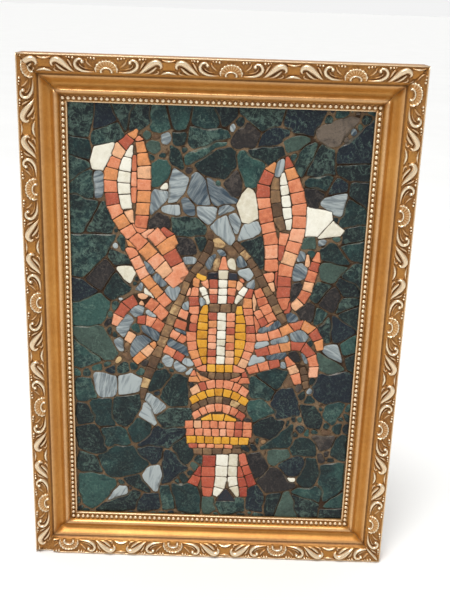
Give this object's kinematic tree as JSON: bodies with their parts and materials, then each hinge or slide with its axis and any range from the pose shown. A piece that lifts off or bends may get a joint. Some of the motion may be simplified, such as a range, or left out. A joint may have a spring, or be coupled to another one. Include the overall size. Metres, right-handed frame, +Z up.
{
  "type": "mosaic panel",
  "caption": "Framed wall mosaic: a lobster in cut natural stone on green crazy paving, in a deep mitred moulding with carved scrolls and a bead row.",
  "frame": {"origin": "middle of the panel's back, on the wall plane", "axes": "+Y into the wall, +Z up, +X to the right as seen from the front"},
  "size_m": [0.379, 0.0309, 0.531],
  "materials": {
    "gilding": "matte rubbed gilding over carved wood",
    "board": "plain sawn board",
    "paving": "polished green marble in sandy mortar",
    "pink_stone": "honed cut stone",
    "red_stone": "honed cut stone",
    "white_stone": "honed cut stone",
    "yellow_stone": "honed cut stone",
    "brown_stone": "honed cut stone",
    "black_stone": "polished slate"
  },
  "bodies": {
    "root": {"back_spine": "white_stone", "backing_board": "board", "brown_chin": "brown_stone", "collar": "brown_stone", "frame_rail_bottom": "gilding", "frame_rail_left": "gilding", "frame_rail_right": "gilding", "frame_rail_top": "gilding", "head_point": "pink_stone", "head_spine": "white_stone", "left_antenna": "brown_stone", "left_back_column": "pink_stone", "left_claw": "pink_stone", "left_claw_inlay": "white_stone", "left_claw_sliver": "pink_stone", "left_crown": "pink_stone", "left_eye": "black_stone", "left_flank": "pink_stone", "left_leg_1": "pink_stone", "left_leg_2": "pink_stone", "left_leg_3": "pink_stone", "left_leg_4": "pink_stone", "left_oval": "yellow_stone", "left_whisker": "white_stone", "left_white_stone": "white_stone", "middle_white_stone": "white_stone", "mortar_bed_with_paving": "paving", "outer_white_stone": "white_stone", "right_antenna": "brown_stone", "right_antenna_tip": "brown_stone", "right_back_column": "pink_stone", "right_claw": "pink_stone", "right_claw_inlay": "white_stone", "right_claw_shadow": "brown_stone", "right_crown": "pink_stone", "right_eye": "black_stone", "right_flank": "pink_stone", "right_leg_1": "pink_stone", "right_leg_2": "pink_stone", "right_leg_3": "pink_stone", "right_oval": "yellow_stone", "right_pincer": "pink_stone", "right_pincer_thumb": "pink_stone", "right_whisker": "white_stone", "right_white_stone": "white_stone", "tail_fan_left": "red_stone", "tail_fan_middle": "white_stone", "tail_fan_notch": "black_stone", "tail_fan_right": "red_stone", "tail_ring_1": "pink_stone", "tail_ring_2": "yellow_stone", "tail_ring_3": "brown_stone", "tail_ring_4": "pink_stone", "tail_ring_5": "yellow_stone", "tail_ring_6": "pink_stone", "tail_ring_7": "yellow_stone", "tail_ring_8": "pink_stone", "tail_ring_9": "brown_stone", "yellow_chin": "yellow_stone"}
  },
  "joints": []
}
